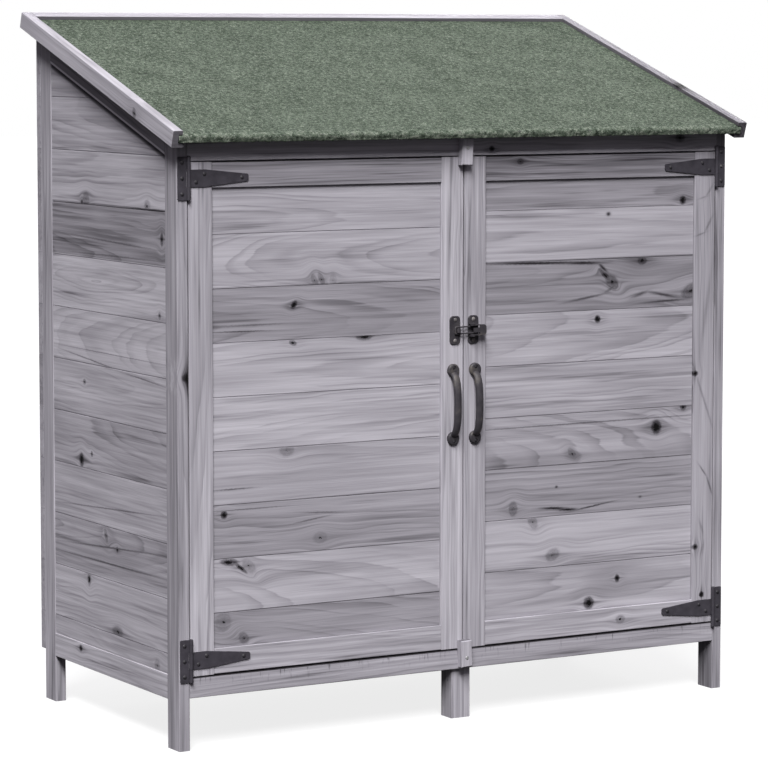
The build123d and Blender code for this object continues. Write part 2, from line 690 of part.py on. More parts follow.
rivet_start = LEVER_INSIDE / 2
rivet_length = 2 * EAR_THICK + EAR_GAP
rivet = Pos(0, 0, rivet_start + rivet_length / 2) * Cylinder(RIVET_RADIUS, rivet_length)
rivet_top = rivet_start + rivet_length
rivet = rivet + Pos(0, 0, rivet_top + RIVET_HEAD / 2) * Cylinder(RIVET_HEAD_RADIUS, RIVET_HEAD)
parts["latch_rivets"] = group([ear_place * rivet, ear_place * mirror(rivet, about=Plane.XY)])

heel = pivot_lift - EAR_GAP
flank_points = [
    (0, -EAR_RADIUS),
    (LEVER_LENGTH - LEVER_ROUND, -EAR_RADIUS),
    (LEVER_LENGTH - LEVER_ROUND, -EAR_RADIUS + 2 * EAR_THICK),
    (LEVER_LAP + EAR_RADIUS, heel),
    (0, heel),
]
flank = make_face(Polyline(*flank_points, close=True))
bail_offset = Pos(BAIL_PIVOT[0] - LEVER_PIVOT[0], BAIL_PIVOT[1] - LEVER_PIVOT[1])
bail_hole = bail_offset * Circle(BAIL_WIRE / 2 + RUNNING_FIT)
lever_ear = extrude(Circle(EAR_RADIUS) + flank - rivet_hole - bail_hole, EAR_THICK)
web_run = (LEVER_WEB_START, LEVER_LENGTH)
web = block(web_run, (-EAR_RADIUS, -EAR_RADIUS + EAR_THICK), (-lever_half, lever_half))
web = fillet(web.edges().filter_by(Axis.Y).sort_by(Axis.X)[-2:], LEVER_ROUND)
tongue_half = bail_half - BAIL_WIRE / 2 - TONGUE_CLEAR
tongue_run = (-LEVER_TONGUE, LEVER_WEB_START)
tongue = block(tongue_run, (-EAR_RADIUS, -EAR_RADIUS + EAR_THICK), (-tongue_half, tongue_half))
lever = web + tongue
for low in (LEVER_INSIDE / 2, -lever_half):
    lever = lever + Pos(0, 0, low) * lever_ear
parts["latch_lever"] = ear_place * lever

bail_points = [
    (0, lever_half),
    (0, bail_half),
    (-BAIL_REACH, bail_half),
    (-BAIL_REACH, -bail_half),
    (0, -bail_half),
    (0, -lever_half),
]
bail_plane = Plane(origin=(BAIL_PIVOT[0], BAIL_PIVOT[1], LATCH_HEIGHT), x_dir=(1, 0, 0), z_dir=(0, -1, 0))
bail_path = FilletPolyline(*bail_points, radius=BAIL_BEND)
bail_start = Plane(origin=(0, lever_half, 0), z_dir=(0, -1, 0))
bail = sweep(bail_start * Circle(BAIL_WIRE / 2), path=bail_path)
parts["latch_bail"] = bail_plane * bail

# Turn buttons on their pivot screws
button_face = Rectangle(BUTTON_WIDTH, BUTTON_LENGTH, align=(Align.CENTER, Align.MIN))
button = extrude(Pos(0, -BUTTON_SHORT_END) * button_face, BUTTON_THICK)
button = chamfer(button.faces().sort_by(Axis.Z)[-1].edges(), BUTTON_BREAK)
button = button - Cylinder(PIVOT_RADIUS + RUNNING_FIT, 4 * BUTTON_THICK)
button = button - Pos(0, 0, BUTTON_THICK) * Cylinder(PIVOT_HEAD_RADIUS + BUTTON_CLEAR, 2 * PIVOT_SINK)
head_seat = BUTTON_THICK + 2 * BUTTON_CLEAR - PIVOT_SINK
pivot_length = head_seat + PIVOT_BITE
pivot = Pos(0, 0, head_seat - pivot_length / 2) * Cylinder(PIVOT_RADIUS, pivot_length)
pivot_cap = Pos(0, 0, head_seat + PIVOT_HEAD / 2) * Cylinder(PIVOT_HEAD_RADIUS, PIVOT_HEAD)
pivot = pivot + fillet(pivot_cap.edges().sort_by(Axis.Z)[-1], PIVOT_HEAD * 0.6)
for row, height in BUTTON_HEIGHTS.items():
    plane = Plane(origin=(0, FACE, height), x_dir=(1, 0, 0), z_dir=(0, -1, 0))
    turn = BUTTON_TILT if row == "bottom" else 180 - BUTTON_TILT
    parts[row + "_turn_button"] = plane * Pos(0, 0, BUTTON_CLEAR) * Rot(0, 0, turn) * button
    parts[row + "_pivot_screw"] = plane * pivot

# Screws, one group for each body that carries them
on_plate = Pos(0, -HINGE_PLATE, 0) * screw()
left_leaf_screws = [spot * on_plate for spot in all_heights(leaf_screw_places)]
parts["hinge_leaf_screws"] = group(left_leaf_screws + [mirrored(item) for item in left_leaf_screws])
on_pad = Pos(0, SCREW_HEAD - PAD_THICK, 0) * screw()
on_latch = Pos(0, -LATCH_PLATE, 0) * screw()
door_screws = [spot * on_plate for spot in all_heights(strap_screw_places)]
door_screws += [spot * on_pad for spot in handle_screw_places()]
door_screws += [spot * on_latch for spot in latch_screw_places()]
parts["left_door_screws"] = group(door_screws)
parts["right_door_screws"] = mirrored(group(door_screws))

os.makedirs("parts", exist_ok=True)
for name, shape in parts.items():
    export_step(shape, f"parts/{name}.step")
print(len(parts), "nodes")
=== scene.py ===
import json
import math
import random
from collections import namedtuple

import bpy
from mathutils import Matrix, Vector, noise


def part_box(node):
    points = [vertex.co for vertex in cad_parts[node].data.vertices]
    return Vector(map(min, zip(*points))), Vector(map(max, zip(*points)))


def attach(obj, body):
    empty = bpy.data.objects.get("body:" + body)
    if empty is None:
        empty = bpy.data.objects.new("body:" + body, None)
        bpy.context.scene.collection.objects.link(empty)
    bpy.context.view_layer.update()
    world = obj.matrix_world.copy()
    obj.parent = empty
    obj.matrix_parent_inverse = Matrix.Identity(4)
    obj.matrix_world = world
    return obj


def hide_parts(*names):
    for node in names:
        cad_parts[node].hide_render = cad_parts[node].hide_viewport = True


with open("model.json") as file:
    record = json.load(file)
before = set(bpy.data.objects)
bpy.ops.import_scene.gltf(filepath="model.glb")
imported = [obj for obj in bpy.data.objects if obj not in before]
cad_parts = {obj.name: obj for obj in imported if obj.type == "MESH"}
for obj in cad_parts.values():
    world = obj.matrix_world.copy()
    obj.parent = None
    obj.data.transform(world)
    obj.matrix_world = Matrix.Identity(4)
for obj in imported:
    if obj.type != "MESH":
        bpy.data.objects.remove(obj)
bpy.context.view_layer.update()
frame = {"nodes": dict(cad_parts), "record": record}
nodes = frame["nodes"]

# Sizes in millimetres, measured from the foot of the front left post:
# X along the front, Y to the back, Z up.
MM = 0.001
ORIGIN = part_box("front_left_post")[0]
SHED_WIDTH = 1000.0
SIDE_SEAM = 143.8
SIDE_PITCH = 83.4
DOOR_PITCH = 81.8
LEFT_DOOR_SEAM = 205.0
RIGHT_DOOR_SEAM = 227.5

# The roof: lengths up the slope start over the front of the posts, heights at the panel's underside
ROOF_PITCH = math.radians(18.2)
PANEL_HEIGHT = 926.0
PANEL_THICK = 9.0
PANEL_FRONT = -27.7
FELT_THICK = 2.5
FELT_END = 532.0
FELT_MARGIN = 9.7

# The photograph's camera
CAMERA_PLACE = (-2193.7, -4382.8, 1062.3)
CAMERA_YAW = 30.187
CAMERA_PITCH = 5.100
CAMERA_LENS = 154.77
CAMERA_SHIFT = -0.06

# Two soft suns above the camera, a low one behind the shed, and a weak sky, brightest half way up
Sun = namedtuple("Sun", "towards strength")
SUNS = [
    Sun((-0.329, -0.651, 0.685), 2.5),
    Sun((-0.395, -0.411, 0.822), 2.6),
    Sun((0.556, 0.758, 0.342), 1.7),
]
SUN_ANGLE = 18.0
SKY_STRENGTH = 0.36
SKY_COLOUR = (0.948, 0.886, 1.0)
FLOOR_SIZE = 60.0
FLOOR_GLOW = 0.82


class Graph:
    """Adds nodes to a tree and links them as they are made."""

    def __init__(self, tree):
        self.tree = tree

    def add(self, kind, inputs=None, **settings):
        """A new node with its settings, and its inputs linked or set."""
        node = self.tree.nodes.new(kind)
        for key, value in settings.items():
            setattr(node, key, value)
        for key, value in (inputs or {}).items():
            self.put(node.inputs[key], value)
        return node

    def put(self, socket, value):
        """Link a socket to another one, or set it to a plain value."""
        if isinstance(value, bpy.types.NodeSocket):
            self.tree.links.new(value, socket)
        else:
            socket.default_value = value

    def group(self, tree, inputs):
        """The outputs of a node group that gets these inputs."""
        return self.add("ShaderNodeGroup", inputs, node_tree=tree).outputs

    def math(self, operation, first, second=0.0):
        node = self.add("ShaderNodeMath", {0: first, 1: second}, operation=operation)
        return node.outputs[0]

    def total(self, *terms):
        """The sum of several values, each a socket or a (socket, factor) pair."""
        result = None
        for term in terms:
            if isinstance(term, tuple):
                term = self.math("MULTIPLY", *term)
            result = term if result is None else self.math("ADD", result, term)
        return result

    def product(self, *factors):
        result = factors[0]
        for factor in factors[1:]:
            result = self.math("MULTIPLY", result, factor)
        return result

    def darker(self, first, second):
        """The stronger of two shades, which run from 0 for none to 1 for black."""
        return self.math("MAXIMUM", first, second)

    def vector(self, operation, first, second=(0, 0, 0)):
        node = self.add("ShaderNodeVectorMath", {0: first, 1: second}, operation=operation)
        return node.outputs["Value" if operation in ("LENGTH", "DOT_PRODUCT") else "Vector"]

    def noise(self, place, stretch, detail=2.0, roughness=0.5):
        """Noise between 0 and 1, its scale given per millimetre along each axis."""
        place = self.vector("MULTIPLY", place, stretch)
        inputs = {"Vector": place, "Scale": 1.0, "Detail": detail, "Roughness": roughness}
        return self.add("ShaderNodeTexNoise", inputs).outputs["Fac"]

    def swing(self, place, stretch, detail=2.0, roughness=0.5):
        """The same noise between -0.5 and 0.5."""
        return self.math("SUBTRACT", self.noise(place, stretch, detail, roughness), 0.5)

    def remap(self, value, low, high, new_low=0.0, new_high=1.0):
        """A smooth step from one pair of values to another."""
        inputs = {"Value": value, "From Min": low, "From Max": high, "To Min": new_low, "To Max": new_high}
        return self.add("ShaderNodeMapRange", inputs, interpolation_type="SMOOTHSTEP").outputs["Result"]

    def bell(self, value):
        """A smooth hill: 1 where the value is 0, fading on both sides."""
        return self.math("EXPONENT", self.product(value, value, -1.0))

    def hill(self, along, across, fades):
        """A smooth hill over two directions, with how fast it fades along each."""
        first = self.bell(self.math("MULTIPLY", along, fades[0]))
        second = self.bell(self.math("MULTIPLY", across, fades[1]))
        return self.product(first, second)

    def ramp(self, value, stops, interpolation="LINEAR"):
        """A colour ramp through (position, colour) stops."""
        node = self.add("ShaderNodeValToRGB", {"Fac": value})
        node.color_ramp.interpolation = interpolation
        elements = node.color_ramp.elements
        while len(elements) < len(stops):
            elements.new(1.0)
        for element, (position, colour) in zip(elements, stops):
            element.position = position
            element.color = (*colour, 1.0)
        return node.outputs["Color"]

    def split(self, vector):
        return self.add("ShaderNodeSeparateXYZ", {"Vector": vector}).outputs

    def join(self, x, y, z):
        return self.add("ShaderNodeCombineXYZ", {"X": x, "Y": y, "Z": z}).outputs["Vector"]


def grey(level):
    return (level, level, level)


def new_group(name, inputs, outputs):
    """An empty node group with the named sockets, its inputs and its outputs."""
    tree = bpy.data.node_groups.new(name, "ShaderNodeTree")
    for way, sockets in (("INPUT", inputs), ("OUTPUT", outputs)):
        for title, kind in sockets.items():
            tree.interface.new_socket(title, in_out=way, socket_type="NodeSocket" + kind)
    graph = Graph(tree)
    return graph, graph.add("NodeGroupInput").outputs, graph.add("NodeGroupOutput").inputs


def floats(*names):
    """Number sockets for a node group."""
    return {name: "Float" for name in names}


# A knot's reaches are in radii, and its fades are per radius, along the grain and across it.
KNOT_EDGE = (1.55, 0.35)
KNOT_MOTTLE = 1.7
KNOT_MOTTLE_LEVEL = 0.8
KNOT_RIM = 0.98
KNOT_RIM_WIDTH = 0.2
KNOT_RIM_DARK = 0.35
KNOT_LINE_FADE = (0.32, 4.5)
KNOT_LINE_DARK = 0.5
KNOT_CORE_EDGE = (1.6, 0.5)
KNOT_CORE_WOBBLE = 0.6
KNOT_HALO_FADE = (0.3, 0.75)
KNOT_PUSH_FADE = (0.36, 0.42)
KNOT_PUSH = -0.85


def knot_group():
    """One knot: it pushes the grain apart, and darkens its body, its rim and its core."""
    inputs = {"Place": "Vector", "Centre": "Vector"}
    inputs |= floats("Wobble", "Board", "Own Board", "Radius", "Long", "Slant", "Body", "Core")
    inputs |= floats("Bend", "Shade", "Halo")
    graph, source, result = new_group("knot", inputs, floats("Bend", "Shade", "Halo"))
    offset = graph.vector("SUBTRACT", source["Place"], source["Centre"])
    radii = graph.join(source["Radius"], source["Radius"], 1.0)
    axis = graph.split(graph.vector("DIVIDE", offset, radii))
    across = axis["Y"]
    along = graph.math("SUBTRACT", axis["X"], graph.math("MULTIPLY", across, source["Slant"]))
    along = graph.math("DIVIDE", along, source["Long"])
    same = graph.math("COMPARE", source["Board"], source["Own Board"])

    span = graph.vector("LENGTH", graph.join(along, across, 0.0))
    span = graph.total(span, source["Wobble"])
    mottle = graph.total((source["Wobble"], KNOT_MOTTLE), KNOT_MOTTLE_LEVEL)
    body = graph.remap(span, *KNOT_EDGE)
    rim = graph.bell(graph.math("DIVIDE", graph.math("SUBTRACT", span, KNOT_RIM), KNOT_RIM_WIDTH))
    body = graph.math("MULTIPLY", graph.total(body, (rim, KNOT_RIM_DARK)), mottle)
    line = graph.hill(along, across, KNOT_LINE_FADE)
    body = graph.math("MULTIPLY", source["Body"], graph.total(body, (line, KNOT_LINE_DARK)))
    core = graph.math("DIVIDE", graph.total(span, (source["Wobble"], KNOT_CORE_WOBBLE)), source["Core"])
    core = graph.remap(core, *KNOT_CORE_EDGE)
    shade = graph.math("MULTIPLY", graph.darker(body, core), same)
    graph.put(result["Shade"], graph.darker(source["Shade"], shade))

    halo = graph.hill(along, across, KNOT_HALO_FADE)
    halo = graph.product(halo, source["Body"], same)
    graph.put(result["Halo"], graph.darker(source["Halo"], halo))
    push = graph.hill(along, across, KNOT_PUSH_FADE)
    push = graph.product(push, across, source["Radius"], same, KNOT_PUSH)
    graph.put(result["Bend"], graph.math("ADD", source["Bend"], push))
    return graph.tree


CRACK_WAVE = 2.4


def crack_group():
    """One thin dark streak, ragged and tapered, that may rise along the grain."""
    inputs = {"Place": "Vector", "Centre": "Vector"}
    inputs |= floats("Wobble", "Board", "Own Board", "Width", "Length", "Rise", "Dark", "Shade")
    graph, source, result = new_group("crack", inputs, floats("Shade"))
    axis = graph.split(graph.vector("SUBTRACT", source["Place"], source["Centre"]))
    across = graph.math("SUBTRACT", axis["Y"], graph.math("MULTIPLY", axis["X"], source["Rise"]))
    across = graph.total(across, (source["Wobble"], CRACK_WAVE))
    line = graph.bell(graph.math("DIVIDE", across, source["Width"]))
    taper = graph.bell(graph.math("DIVIDE", axis["X"], source["Length"]))
    same = graph.math("COMPARE", source["Board"], source["Own Board"])
    shade = graph.product(line, taper, same, source["Dark"])
    graph.put(result["Shade"], graph.darker(source["Shade"], shade))
    return graph.tree


# Noise per millimetre along the grain, across it and into it
SOFT_GRAIN = (0.0035, 0.028, 0.028)
DRIFT_GRAIN = (0.005, 0.02, 0.02)
STREAK_GRAIN = (0.004, 0.17, 0.17)
FIBRE_GRAIN = (0.015, 0.8, 0.8)
STAIN_GRAIN = (0.003, 0.075, 0.075)
FIGURE_GRAIN = (0.004, 0.03, 0.03)
WOBBLE_GRAIN = (0.20, 0.26, 0.26)
SAW_GRAIN = (0.16, 0.02, 0.02)
# How far apart two boards lie in the noise, along and across
BOARD_STEP = (731.0, 137.0)

# Growth rings, in millimetres: where the pith lies, and how uneven the rings round it are
RING_WIDTH = 8.5
PITH_SPREAD = 110.0
PITH_DEPTH = 18.0
PITH_DEPTH_SPREAD = 60.0
PITH_TILT = 0.2
RING_DRIFT = 22.0
RING_SOFT = 9.0
RING_CROWDING = 24.0
RING_CROWDING_PITCH = 0.06
RING_STREAK = 2.6
LATE_WOOD = [(0.0, grey(0.0)), (0.45, grey(0.06)), (0.8, grey(0.7)), (0.9, grey(1.0)), (0.98, grey(0.0))]

# What each layer adds to the tone of the timber
TONE_LIFT = 0.02
LATE_WEIGHT = -0.16
STREAK_WEIGHT = 0.30
FIBRE_WEIGHT = 0.07
SOFT_WEIGHT = 0.26
STAIN_WEIGHT = -0.16
HALO_WEIGHT = -0.45
TIMBER_STOPS = [
    (0.0, (0.005, 0.0045, 0.005)),
    (0.25, (0.058, 0.053, 0.061)),
    (0.5, (0.185, 0.176, 0.196)),
    (0.75, (0.385, 0.368, 0.406)),
    (1.0, (0.640, 0.618, 0.670)),
]


def timber_group():
    """Grey-washed softwood: rings round a pith that differs from board to board, streaks and fibres."""
    inputs = {"Place": "Vector"} | floats("Board", "Shade", "Halo", "Tone", "Streak", "Wear")
    outputs = {"Color": "Color", "Height": "Float", "Roughness": "Float"}
    graph, source, result = new_group("timber", inputs, outputs)
    board = source["Board"]
    chance = graph.add("ShaderNodeTexWhiteNoise", {"W": board}, noise_dimensions="1D").outputs["Color"]
    chance = graph.add("ShaderNodeSeparateColor", {"Color": chance}).outputs
    shift = [graph.math("MULTIPLY", board, step) for step in BOARD_STEP]
    place = graph.vector("ADD", source["Place"], graph.join(*shift, 0.0))
    axis = graph.split(source["Place"])
    soft = graph.swing(place, SOFT_GRAIN)
    drift = graph.swing(place, DRIFT_GRAIN)
    streaks = graph.swing(place, STREAK_GRAIN, 3.0, 0.6)
    fibre = graph.noise(place, FIBRE_GRAIN)
    stain = graph.noise(place, STAIN_GRAIN, 3.0, 0.6)

    centre = graph.math("MULTIPLY", graph.math("SUBTRACT", chance["Red"], 0.5), PITH_SPREAD)
    across = graph.total(axis["Y"], centre, (drift, RING_DRIFT))
    tilt = graph.math("MULTIPLY", graph.math("SUBTRACT", chance["Blue"], 0.5), PITH_TILT)
    depth = graph.total(axis["Z"], (chance["Green"], PITH_DEPTH_SPREAD), PITH_DEPTH)
    depth = graph.total(depth, (tilt, axis["X"]), (soft, RING_SOFT))
    distance = graph.math("SQRT", graph.total((across, across), (depth, depth)))
    crowding = {"W": graph.total((distance, RING_CROWDING_PITCH), board), "Scale": 1.0}
    crowding = graph.add("ShaderNodeTexNoise", crowding, noise_dimensions="1D").outputs["Fac"]
    distance = graph.total(distance, (crowding, RING_CROWDING), (streaks, RING_STREAK))
    late = graph.ramp(graph.math("FRACT", graph.math("DIVIDE", distance, RING_WIDTH)), LATE_WOOD)
    figure = graph.remap(graph.noise(place, FIGURE_GRAIN), 0.34, 0.68, 0.15, 1.0)

    strong = graph.product(graph.total((source["Tone"], -1.2), 1.9), source["Streak"])
    value = graph.total(
        source["Tone"],
        # painted highlight along a side top rail's lower edge
        source["Wear"],
        TONE_LIFT,
        (graph.math("MULTIPLY", late, figure), LATE_WEIGHT),
        (graph.math("MULTIPLY", streaks, strong), STREAK_WEIGHT),
        (fibre, FIBRE_WEIGHT),
        (soft, SOFT_WEIGHT),
        (graph.math("MULTIPLY", graph.remap(stain, 0.56, 0.76), strong), STAIN_WEIGHT),
        (graph.math("MULTIPLY", source["Halo"], graph.remap(streaks, 0.12, -0.2)), HALO_WEIGHT),
    )
    spared = graph.math("SUBTRACT", 1.0, source["Shade"])
    graph.put(result["Color"], graph.ramp(graph.math("MULTIPLY", value, spared), TIMBER_STOPS))
    graph.put(result["Height"], fibre)
    graph.put(result["Roughness"], graph.remap(fibre, 0.2, 0.8, 0.74, 0.6))
    return graph.tree


KNOT = knot_group()
CRACK = crack_group()
TIMBER = timber_group()


def new_material(name):
    """A material with nodes, the graph that adds to it, and its shader."""
    material = bpy.data.materials.new(name)
    material.use_nodes = True
    return material, Graph(material.node_tree), material.node_tree.nodes["Principled BSDF"]


def bump(graph, shader, height, strength, distance):
    inputs = {"Height": height, "Strength": strength, "Distance": distance}
    graph.put(shader.inputs["Normal"], graph.add("ShaderNodeBump", inputs).outputs["Normal"])


def level_turn(graph, vector, slope):
    """A vector turned with the roof, so that its second axis runs up the slope."""
    inputs = {"Vector": vector, "Rotation": (-slope, 0.0, 0.0)}
    return graph.add("ShaderNodeMapping", inputs).outputs["Vector"]


def object_millimetres(graph):
    """The place on the resting part, in millimetres from the front left foot."""
    local = graph.add("ShaderNodeTexCoord").outputs["Object"]
    local = graph.vector("SUBTRACT", local, ORIGIN)
    return graph.vector("MULTIPLY", local, (1 / MM, 1 / MM, 1 / MM))


# Marks on the timber, in millimetres along the grain and across it. A knot's body and core are the
# darkness of its body and the share of its radius that is black, and its stretch runs along the grain.
# A crack is a thin dark streak: its width and length are half sizes.
Knot = namedtuple("Knot", "along across radius body core stretch slant")
Crack = namedtuple("Crack", "along across width length dark rise")
# Rows of boards: the height of a seam, the width of a board, and the tones from the lowest board up
Boards = namedtuple("Boards", "seam pitch tones")
# The painted shadow of a sloping rail on the boards just under it, and a painted highlight along the
# rail's lower edge
Rail = namedtuple("Rail", "shade wear")

# The axes along the grain, across it and into it
GRAIN_ORDER = {"x": ("X", "Z", "Y"), "y": ("Y", "Z", "X"), "z": ("Z", "X", "Y")}
END_SHADE = 0.42
BOARD_END_SHADE = 0.12
# Darkening of a trim's face towards the felt
FELT_FACE_DARKENING = 0.38
# Painted shade and dirt in the seams between boards: reaches, and strength
SEAM_PAINTED_SHADE_EDGE = (1.2, 0.3)
SEAM_PAINTED_SHADE = 0.25
# Painted shade along the gap at a timber's edge: reaches, and strength
GAP_PAINTED_SHADE_EDGE = (1.8, 0.4)
GAP_PAINTED_SHADE = 0.85
RAIL_EDGE = PANEL_HEIGHT * math.cos(ROOF_PITCH) - 40.0
# Painted shadow that a side's sloping top rail casts on the boards under it: reach below the rail's edge,
# and strength
RAIL_PAINTED_SHADOW_EDGE = (-9.0, -3.0)
RAIL_PAINTED_SHADOW = 0.65
# Painted highlight along the lower edge of a side's sloping top rail: reach above the edge, and strength
RAIL_PAINTED_HIGHLIGHT_EDGE = (4.5, 2.5)
RAIL_PAINTED_HIGHLIGHT = 0.8
SAW_REACH = (22.0, 2.0)
SAW_SHADE = 0.4


def face_shade(graph, facing, amount):
    """Shade on the faces that look along a direction."""
    return graph.remap(facing, 0.8, 0.95, 0.0, amount)


def board_rows(graph, across, boards, seed):
    """The board that a point is on, its tone, the place across it, and the painted shade and dirt in the
    seams.
    """
    count = graph.math("DIVIDE", graph.math("SUBTRACT", across, boards.seam), boards.pitch)
    number = graph.math("FLOOR", count)
    board = graph.math("ADD", number, float(seed))
    rows = len(boards.tones)
    stops = [(index / rows, grey(level)) for index, level in enumerate(boards.tones)]
    tone = graph.ramp(graph.math("DIVIDE", graph.math("ADD", count, 1.0), rows), stops, "CONSTANT")
    share = graph.math("SUBTRACT", graph.math("SUBTRACT", count, number), 0.5)
    outer, inner = [reach / boards.pitch for reach in SEAM_PAINTED_SHADE_EDGE]
    shade = graph.remap(graph.math("PINGPONG", count, 0.5), outer, inner, 0.0, SEAM_PAINTED_SHADE)
    return board, tone, graph.math("MULTIPLY", share, boards.pitch), shade


def mark_place(mark, boards, seed):
    """What tells a knot or a crack where it is, and on which board."""
    own = float(seed)
    across = mark.across
    if boards:
        step = math.floor((across - boards.seam) / boards.pitch)
        own += step
        across -= boards.seam + (step + 0.5) * boards.pitch
    return {"Centre": (mark.along, across, 0.0), "Own Board": own}


def saw_marks(graph, place, drop):
    """Short dark ticks across the grain, close under a sawn edge."""
    ticks = graph.remap(graph.noise(place, SAW_GRAIN, 3.0, 0.7), 0.55, 0.68, 0.0, SAW_SHADE)
    return graph.math("MULTIPLY", ticks, graph.remap(drop, *SAW_REACH))


def timber_material(
    name, grain, seed, tone=None, boards=None, knots=(), cracks=(), joints=(), ends=END_SHADE,
    slope=0.0, darkened_face=None, streak=1.0, rail=None, sawn=None,
):
    """Timber with its grain along one axis, in one tone or in rows of boards with tones of their own.

    Heights may be given of edges that get painted shade along the gap beside them, and sawn is the height
    of a rough edge. slope is the roof's on a timber that follows it, and the face towards the felt that is
    darkened is given by its axis and way.
    """
    material, graph, shader = new_material(name)
    local = object_millimetres(graph)
    normal = graph.add("ShaderNodeTexCoord").outputs["Normal"]
    if slope:
        local = level_turn(graph, local, slope)
        normal = level_turn(graph, normal, slope)
    order = GRAIN_ORDER[grain]
    axes = graph.split(local)
    along, across, depth = [axes[letter] for letter in order]
    facing = graph.split(normal)
    shade = face_shade(graph, graph.math("ABSOLUTE", facing[order[0]]), ends)
    # the trim's face towards the felt is darkened
    if darkened_face:
        letter, way = darkened_face
        darkened_facing = graph.math("MULTIPLY", facing[letter], way)
        shade = graph.darker(shade, face_shade(graph, darkened_facing, FELT_FACE_DARKENING))
    board = float(seed)
    if boards:
        board, tone, across, seam_painted_shade = board_rows(graph, across, boards, seed)
        shade = graph.darker(shade, seam_painted_shade)
    # painted shade along the gap at each given edge
    for level in joints:
        edge = graph.math("ABSOLUTE", graph.math("SUBTRACT", across, level))
        shade = graph.darker(shade, graph.remap(edge, *GAP_PAINTED_SHADE_EDGE, 0.0, GAP_PAINTED_SHADE))
    wear = 0.0
    if rail:
        turned = local if slope else level_turn(graph, local, ROOF_PITCH)
        drop = graph.math("SUBTRACT", graph.split(turned)["Z"], RAIL_EDGE)
        # painted shadow of the sloping rail on the boards just under it
        shade = graph.darker(shade, graph.remap(drop, *RAIL_PAINTED_SHADOW_EDGE, 0.0, rail.shade))
        # painted highlight along the lower edge of a side top rail
        wear = graph.remap(drop, *RAIL_PAINTED_HIGHLIGHT_EDGE, 0.0, rail.wear)
    place = graph.join(along, across, depth)
    if sawn:
        shade = graph.darker(shade, saw_marks(graph, place, graph.math("SUBTRACT", sawn, across)))

    wobble = graph.swing(place, WOBBLE_GRAIN, 3.0, 0.7) if knots else 0.0
    shared = {"Place": place, "Wobble": wobble, "Board": board}
    for crack in cracks:
        inputs = shared | mark_place(crack, boards, seed)
        inputs |= {"Width": crack.width, "Length": crack.length, "Rise": crack.rise}
        inputs |= {"Dark": crack.dark, "Shade": shade}
        shade = graph.group(CRACK, inputs)["Shade"]
    bend = 0.0
    halo = 0.0
    for knot in knots:
        inputs = shared | mark_place(knot, boards, seed)
        inputs |= {"Radius": knot.radius, "Long": knot.stretch, "Slant": knot.slant}
        inputs |= {"Body": knot.body, "Core": knot.core, "Bend": bend, "Shade": shade, "Halo": halo}
        outputs = graph.group(KNOT, inputs)
        bend, shade, halo = outputs["Bend"], outputs["Shade"], outputs["Halo"]
    if knots:
        place = graph.vector("ADD", place, graph.join(0.0, bend, 0.0))
    inputs = {"Place": place, "Board": board, "Shade": shade, "Halo": halo}
    look = graph.group(TIMBER, inputs | {"Tone": tone, "Streak": streak, "Wear": wear})
    graph.put(shader.inputs["Base Color"], look["Color"])
    graph.put(shader.inputs["Roughness"], look["Roughness"])
    shader.inputs["Specular IOR Level"].default_value = 0.12
    bump(graph, shader, look["Height"], 0.35, 0.0006)
    return material


# A place that is lightened: fully up to the inner reach, and not past the outer one. On the latch's screw
# heads it is bare metal, on the handles' upper pads a painted highlight.
Wear = namedtuple("Wear", "centre inner outer amount")
LATCH_WEAR = Wear((500.0, 0.0, 616.0), 45.0, 60.0, 0.36)
# painted highlight on the handles' upper pads, with their brownish tint
UPPER_PAD_WEAR_AND_HIGHLIGHT = Wear((500.0, -8.0, 562.0), 23.0, 44.0, 0.16)
HINGE_STOPS = [(0.3, (0.036, 0.033, 0.041)), (0.7, (0.058, 0.053, 0.065))]
# handle colours: the brownish top stop comes in random patches and in the painted highlight on the upper
# pads
HANDLE_STOPS = [
    (0.35, (0.030, 0.027, 0.033)),
    (0.6, (0.048, 0.044, 0.050)),
    (0.8, (0.100, 0.088, 0.080)),
]
SCREW_STOPS = [
    (0.3, (0.016, 0.015, 0.018)),
    (0.62, (0.034, 0.031, 0.037)),
    (0.9, (0.210, 0.195, 0.190)),
]
ZINC_STOPS = [(0.3, grey(0.42)), (0.7, grey(0.62))]


def hardware_material(name, colours, bright=None):
    """Satin black paint on iron, a little uneven, and lighter round one place where given: bare on the
    latch's screw heads, a painted highlight on the handles' upper pads.
    """
    material, graph, shader = new_material(name)
    place = object_millimetres(graph)
    cast = graph.noise(place, (0.9, 0.9, 0.9), 3.0, 0.6)
    cloud = graph.noise(place, (0.07, 0.07, 0.07), 3.0, 0.6)
    if bright:
        reach = graph.vector("LENGTH", graph.vector("SUBTRACT", place, bright.centre))
        cloud = graph.total(cloud, graph.remap(reach, bright.outer, bright.inner, 0.0, bright.amount))
    graph.put(shader.inputs["Base Color"], graph.ramp(cloud, colours))
    graph.put(shader.inputs["Roughness"], graph.remap(cast, 0.3, 0.7, 0.45, 0.65))
    shader.inputs["Specular IOR Level"].default_value = 0.35
    bump(graph, shader, cast, 0.3, 0.0004)
    return material


def zinc_material():
    """Dull bright zinc."""
    material, graph, shader = new_material("zinc_screw")
    cast = graph.noise(object_millimetres(graph), (1.2, 1.2, 1.2), 3.0, 0.6)
    graph.put(shader.inputs["Base Color"], graph.ramp(cast, ZINC_STOPS))
    graph.put(shader.inputs["Roughness"], graph.remap(cast, 0.3, 0.7, 0.4, 0.6))
    shader.inputs["Metallic"].default_value = 0.6
    bump(graph, shader, cast, 0.2, 0.0003)
    return material


# The felt's front edge up the slope from the foot, and how far behind it the nose's tufts and painted
# highlight reach
FELT_FRONT = PANEL_FRONT - FELT_THICK + PANEL_HEIGHT * math.sin(ROOF_PITCH)
NOSE_REACH = (16.0, 4.0)
GRAINS_PER_MM = 0.75
FELT_STOPS = [
    (0.0, (0.026, 0.032, 0.025)),
    (0.3, (0.062, 0.081, 0.059)),
    (0.6, (0.105, 0.130, 0.099)),
    (0.85, (0.160, 0.185, 0.146)),
    (1.0, (0.240, 0.262, 0.218)),
]


